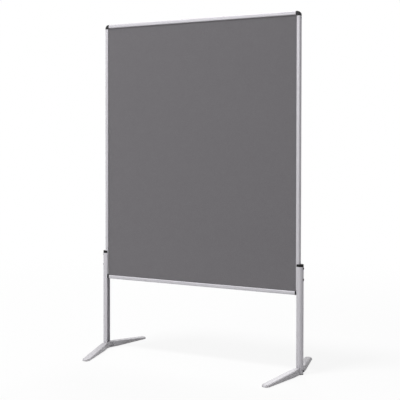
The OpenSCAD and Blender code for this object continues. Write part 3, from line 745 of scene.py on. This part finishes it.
# %% Arm tree: bores and cuts
BORE_POINTS = 48
MERGE = 0.00001
cutters = [pockets, cave_there, wedge]
for place, radius, top in ((0.0, given["Pin Radius"], given["Pin Top"]),
                           (given["Length"], given["Stud Radius"], given["Stud Top"])):
    depth = add(tree, "ShaderNodeMath", {0: top, 1: below}, operation="SUBTRACT")
    middle = add(tree, "ShaderNodeMath", {0: depth, 1: 0.5, 2: below}, operation="MULTIPLY_ADD")
    bore = add(tree, "GeometryNodeMeshCylinder", {
        "Vertices": BORE_POINTS, "Radius": radius, "Depth": depth})
    cutters.append(add(tree, "GeometryNodeTransform", {
        "Geometry": bore,
        "Translation": add(tree, "ShaderNodeCombineXYZ", {"X": place, "Z": middle})}))
body = skin
for cutter in cutters:
    body = add(tree, "GeometryNodeMeshBoolean", {"Mesh 1": body, "Mesh 2": cutter},
               operation="DIFFERENCE", solver="EXACT")
merged = add(tree, "GeometryNodeMergeByDistance", {"Geometry": body, "Distance": MERGE})
smooth = add(tree, "GeometryNodeSetShadeSmooth", {"Geometry": merged})
finish_tree(tree, smooth, given["Casting"])
print("arm tree:", len(tree.nodes), "nodes")

# %% Foot arms
SIDES = {"left": -1, "right": 1}
ENDS = {"front": -1, "rear": 1}
# Play round what is seated and round what is pressed in
SEAT, PRESS = 0.0003, 0.00005
SHOULDER_SHARE = 0.18
CAST_EDGE = 0.0005
joints = frame["record"]["behaviour"]["joints"]
pivot = Vector(next(j["pos_m"] for j in joints if j["child"] == "left_front_arm"))
glide_low, glide_high = (Vector(c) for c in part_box("arm_glide_left_front"))
arm_low, arm_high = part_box("arm_left_front")
bush_low, bush_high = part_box("pivot_bush_left_front")
pin_low, pin_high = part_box("pivot_pin_left_front")
to_tip = ((glide_low + glide_high) / 2 - pivot).to_2d()
drawn = grow("foot_arm", arm_tree, {
    "Length": to_tip.length, "Shoulder Place": SHOULDER_SHARE * to_tip.length,
    "Underside": arm_low[2], "Top": arm_high[2],
    "Fork Bottom": bush_low[2] - PRESS, "Fork Top": bush_high[2] + PRESS,
    "Pin Radius": (pin_high[0] - pin_low[0]) / 2 + PRESS, "Pin Top": pin_high[2] + SEAT,
    "Stud Top": glide_high[2] + SEAT, "Casting": casting})
to_place = Matrix.Translation((pivot.x, pivot.y, 0))
drawn.data.transform(to_place @ Matrix.Rotation(math.atan2(to_tip.y, to_tip.x), 4, "Z"))
for side, across in SIDES.items():
    for end, along in ENDS.items():
        corner = side + "_" + end
        arm = new_piece("arm_%s_casting" % corner, drawn.data.copy())
        # The arm is drawn for the left front corner, and the others are its mirror images
        arm.data.transform(Matrix.Diagonal((-across, -along, 1, 1)))
        if across * along < 0:
            arm.data.flip_normals()
        round_edges(arm, CAST_EDGE)
        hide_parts("arm_" + corner)
        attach(arm, corner + "_arm")
        print(arm.name, len(arm.data.polygons), "faces")
bpy.data.objects.remove(drawn)

# %% [markdown]
# ## Copies on points
#
# Screws and plugs are small round parts that stand in several places and face outwards.
# Each is drawn once, upright at the origin, and set on loose points, which carry the
# direction in which their copy faces. Both have a bevelled pin below their head.

# %% Helpers for copies on points


def bevelled_pin(tree, given, radius, top, length):
    """A round pin from a level above down to a bevelled end, its length below the origin."""
    tail = add(tree, "ShaderNodeMath", {0: length, 1: -1.0}, operation="MULTIPLY")
    bevel = add(tree, "ShaderNodeMath", {0: given["End Bevel"], 1: -1.0}, operation="MULTIPLY")
    return wrap_rims(tree, [
        {"Radius": radius, "Level": top, **PLAIN},
        {"Radius": radius, "Level": tail, "Rounding": bevel, "Steps": 3}])


def finish_on_points(tree, given, shape, material):
    """Ends a tree: a copy of the shape on each point, turned to the point's aim."""
    aim = add(tree, "GeometryNodeInputNamedAttribute", {"Name": "aim"}, data_type="FLOAT_VECTOR")
    facing = add(tree, "FunctionNodeAlignRotationToVector", {"Vector": aim}, axis="Z")
    placed = add(tree, "GeometryNodeInstanceOnPoints", {
        "Points": given["Geometry"], "Instance": shape, "Rotation": facing})
    finish_tree(tree, placed, material)


def aimed_points(spots, aim):
    """A mesh of loose points that all carry one aim."""
    points = bpy.data.meshes.new("points")
    points.from_pydata(spots, [], [])
    aims = points.attributes.new("aim", "FLOAT_VECTOR", "POINT")
    for i in range(len(spots)):
        aims.data[i].vector = aim
    return points


print("helpers for copies on points ready")

# %% [markdown]
# ## Screws
#
# Socket-head cap screws clamp the legs to the board and to the hubs. The two upper ones
# sit deep in the leg, behind round access holes, and the hub's screw stands on a flat in
# the leg's back. The tree makes a head and a shank and sinks a hexagonal socket in the
# head. The head's rim is rounded, because a cold-headed screw has no sharp edge there.

# %% Screw tree
screw_tree, given = new_tree("cap screws on points", {
    "Head Radius": 0.005, "Head Height": 0.006, "Rim Rounding": 0.0005, "Shank Radius": 0.003,
    "End Bevel": 0.0006, "Length": 0.02, "Socket Width": 0.005, "Socket Depth": 0.003,
    "Steel": None})
tree = screw_tree
neck_z = add(tree, "ShaderNodeMath", {0: given["Head Height"], 1: -1.0}, operation="MULTIPLY")
head = wrap_rims(tree, [
    {"Radius": given["Head Radius"], "Level": 0.0, "Rounding": given["Rim Rounding"], "Steps": 5},
    {"Radius": given["Head Radius"], "Level": neck_z, **PLAIN}])
shank = bevelled_pin(tree, given, given["Shank Radius"], neck_z, given["Length"])
both = add(tree, "GeometryNodeMeshBoolean", {"Mesh": [head, shank]},
           operation="UNION", solver="EXACT")
# A hexagon is wider over its corners than over its flats
corners = 2 * math.cos(math.radians(30))
socket_r = add(tree, "ShaderNodeMath", {0: given["Socket Width"], 1: corners}, operation="DIVIDE")
socket_h = add(tree, "ShaderNodeMath", {0: given["Socket Depth"], 1: 2.0}, operation="MULTIPLY")
hexagon = add(tree, "GeometryNodeMeshCylinder", {
    "Vertices": 6, "Radius": socket_r, "Depth": socket_h})
screw = add(tree, "GeometryNodeMeshBoolean", {"Mesh 1": both, "Mesh 2": hexagon},
            operation="DIFFERENCE", solver="EXACT")
finish_on_points(tree, given, screw, given["Steel"])
print("screw tree:", len(tree.nodes), "nodes")

# %% Cap screws
HEAD_R = 0.005
for side, across in SIDES.items():
    for node, count in (("leg_screws_" + side, 2), ("hub_screw_" + side, 1)):
        low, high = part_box(node)
        outer = high[0] if across > 0 else low[0]
        heights = (low[2] + HEAD_R, high[2] - HEAD_R)[:count]
        piece = grow(
            node + "_set", screw_tree,
            {"Head Radius": HEAD_R, "Length": high[0] - low[0], "Steel": screw_steel},
            aimed_points([(outer, 0, z) for z in heights], (across, 0, 0)))
        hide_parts(node)
        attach(piece, "stand")
        print(piece.name, count, "screws,", len(piece.data.polygons), "faces")

# %% [markdown]
# ## Hole plugs
#
# Where the leg screws are tightened, the leg's round back has two access holes, and a
# black snap-in plug closes each of them. Seen from the front they are the two dark dots
# on the leg's edge. A plug's head has to hug the round back, so the tree cuts a plain
# rounded disc with a cylinder of the leg's own radius, and joins the stem that clips in.

# %% Plug tree
LEG_POINTS = 128
plug_tree, given = new_tree("hole plugs on points", {
    "Head Radius": 0.0066, "Head Height": 0.0014, "Rim Rounding": 0.001, "Skirt": 0.0018,
    "Leg Radius": 0.0175, "Stem Radius": 0.0051, "Stem Length": 0.004, "End Bevel": 0.0006,
    "Plastic": None})
tree = plug_tree
skirt_z = add(tree, "ShaderNodeMath", {0: given["Skirt"], 1: -1.0}, operation="MULTIPLY")
disc = wrap_rims(tree, [
    {"Radius": given["Head Radius"], "Level": given["Head Height"],
     "Rounding": given["Rim Rounding"], "Steps": 7},
    {"Radius": given["Head Radius"], "Level": skirt_z, **PLAIN}])
bar_l = add(tree, "ShaderNodeMath", {0: given["Head Radius"], 1: 4.0}, operation="MULTIPLY")
bar = add(tree, "GeometryNodeMeshCylinder", {
    "Vertices": LEG_POINTS, "Radius": given["Leg Radius"], "Depth": bar_l})
bar_z = add(tree, "ShaderNodeMath", {0: given["Leg Radius"], 1: -1.0}, operation="MULTIPLY")
laid = add(tree, "GeometryNodeTransform", {
    "Geometry": bar, "Rotation": (0, math.radians(90), 0),
    "Translation": add(tree, "ShaderNodeCombineXYZ", {"Z": bar_z})})
saddle = add(tree, "GeometryNodeMeshBoolean", {"Mesh 1": disc, "Mesh 2": laid},
             operation="DIFFERENCE", solver="EXACT")
stem = bevelled_pin(tree, given, given["Stem Radius"], given["End Bevel"], given["Stem Length"])
plug = add(tree, "GeometryNodeMeshBoolean", {"Mesh": [saddle, stem]},
           operation="UNION", solver="EXACT")
finish_on_points(tree, given, plug, given["Plastic"])
print("plug tree:", len(tree.nodes), "nodes")

# %% Hole plugs
for side, across in SIDES.items():
    leg_low, leg_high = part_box("leg_" + side)
    low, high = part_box("leg_screws_" + side)
    crown = leg_high[0] if across > 0 else leg_low[0]
    heights = (low[2] + HEAD_R, high[2] - HEAD_R)
    piece = grow(
        "hole_plugs_" + side, plug_tree,
        {"Leg Radius": (leg_high[1] - leg_low[1]) / 2 + PRESS, "Plastic": cap_plastic},
        aimed_points([(crown, 0, z) for z in heights], (across, 0, 0)))
    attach(piece, "stand")
    print(piece.name, len(piece.data.polygons), "faces")

# %% [markdown]
# ## Rounded edges on mouldings and castings
#
# A mould or a die leaves every edge slightly rounded, and that thin rounding is what
# catches the light along an edge. The shapes themselves are right as they come from the
# frame, so each of these pieces is a copy of its solid: its triangles are joined into
# whole faces, and its edges get the rounding that its process leaves.

# %% Rounded copies
ROUNDED = {"foot_hub": ("casting", 0.0008), "corner_": ("corner", 0.0006),
           "leg_cap": ("cap", 0.0006), "leg_plug": ("cap", 0.0004)}
SAME_PLANE = math.radians(1)
for node, piece in nodes.items():
    start = next((name for name in ROUNDED if node.startswith(name)), None)
    if start is None or node == "corner_screws":
        continue
    slot, width = ROUNDED[start]
    copy = new_piece(node + "_rounded", piece.data.copy())
    work = bmesh.new()
    work.from_mesh(copy.data)
    bmesh.ops.remove_doubles(work, verts=work.verts, dist=MERGE)
    bmesh.ops.dissolve_limit(work, angle_limit=SAME_PLANE, verts=work.verts, edges=work.edges)
    for face in work.faces:
        face.smooth = True
    work.to_mesh(copy.data)
    work.free()
    round_edges(copy, width, segments=3, angle=25)
    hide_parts(node)
    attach(copy, "stand")
    print(copy.name, len(copy.data.polygons), "faces")

# %% [markdown]
# ## Studio
#
# The floor is a pale sheet. Near the object an eighth of what the camera sees is the
# real, shaded floor, which is enough to keep a soft shadow, and further out it fades to
# plain white. The world is white to the camera and in reflections and much dimmer as a
# light, so that the lamps shape the object.

# %% Floor
FLOOR_HALF = 40
FADE_FROM, FADE_TO = 1.2, 5.0
GLOW_NEAR = 0.88
WHITE = (1, 1, 1, 1)


def seen_rays(tree):
    """1 for what the camera, a reflection or glass shows, and 0 for light that falls on things."""
    path = add(tree, "ShaderNodeLightPath").outputs
    seen = add(tree, "ShaderNodeMath", {0: path["Is Camera Ray"], 1: path["Is Glossy Ray"]},
               operation="MAXIMUM")
    return add(tree, "ShaderNodeMath", {0: seen, 1: path["Is Transmission Ray"]},
               operation="MAXIMUM")


floor_paper, tree, place = new_material("paper sweep, pale")
away = add(tree, "ShaderNodeVectorMath", {0: place}, operation="LENGTH")
share = add(tree, "ShaderNodeMapRange", {
    "Value": away, "From Min": FADE_FROM, "From Max": FADE_TO, "To Min": GLOW_NEAR},
    interpolation_type="SMOOTHSTEP")
part = add(tree, "ShaderNodeMath", {0: seen_rays(tree), 1: share}, operation="MULTIPLY")
paper = add(tree, "ShaderNodeBsdfDiffuse", {"Color": linear("#DEDEDE")})
glow = add(tree, "ShaderNodeEmission", {"Color": WHITE, "Strength": 1})
both = add(tree, "ShaderNodeMixShader", {0: part, 1: paper, 2: glow})
add(tree, "ShaderNodeOutputMaterial", {"Surface": both})
floor_mesh = bpy.data.meshes.new("floor")
floor_mesh.from_pydata([(x * FLOOR_HALF, y * FLOOR_HALF, 0) for x, y in (
    (-1, -1), (1, -1), (1, 1), (-1, 1))], [], [(0, 1, 2, 3)])
floor_mesh.materials.append(floor_paper)
floor = new_piece("floor", floor_mesh)
floor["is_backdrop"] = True
print("floor:", 2 * FLOOR_HALF, "m wide")

# %% World
WORLD_LIGHT = 0.13
world = bpy.data.worlds.new("studio")
bpy.context.scene.world = world
world.use_nodes = True
tree = world.node_tree
tree.nodes.clear()
dim = add(tree, "ShaderNodeBackground", {"Color": WHITE, "Strength": WORLD_LIGHT})
white = add(tree, "ShaderNodeBackground", {"Color": WHITE, "Strength": 1})
both = add(tree, "ShaderNodeMixShader", {0: seen_rays(tree), 1: dim, 2: white})
add(tree, "ShaderNodeOutputWorld", {"Surface": both})
print("world:", world.name)

# %% [markdown]
# ## Lamps
#
# Broad soft lamps stand on the left and in front. A strong one hangs high above the
# front: it lights the arms' tops and draws the dark line of shadow that the top rail's
# lip throws on the felt. One behind brightens the rear arms, on which the board would
# otherwise throw its shadow.

# %% Lamps
# Each has its place, the point that it looks at, its side in metres and its power in watts
LAMPS = {
    "left lamp": ((-7.5, -3.2, 4.0), (0, 0, 1.2), 3.0, 135),
    "front lamp": ((-2.2, -7.5, 3.4), (0, 0, 1.2), 3.0, 168),
    "high lamp": ((-1.6, -3.0, 10.5), (0, 0, 1.2), 2.0, 860),
    "back lamp": ((-1.5, 5.5, 5.5), (0, 0, 0.8), 3.0, 230),
}
for name, (place, aim, size, power) in LAMPS.items():
    lamp = new_piece(name, bpy.data.lights.new(name, "AREA"))
    lamp.data.size = size
    lamp.data.energy = power
    lamp.location = place
    lamp.rotation_euler = (Vector(aim) - Vector(place)).to_track_quat("-Z", "Y").to_euler()
print("lamps:", ", ".join(LAMPS))

# %% Measure the bounds of the object
low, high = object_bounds()
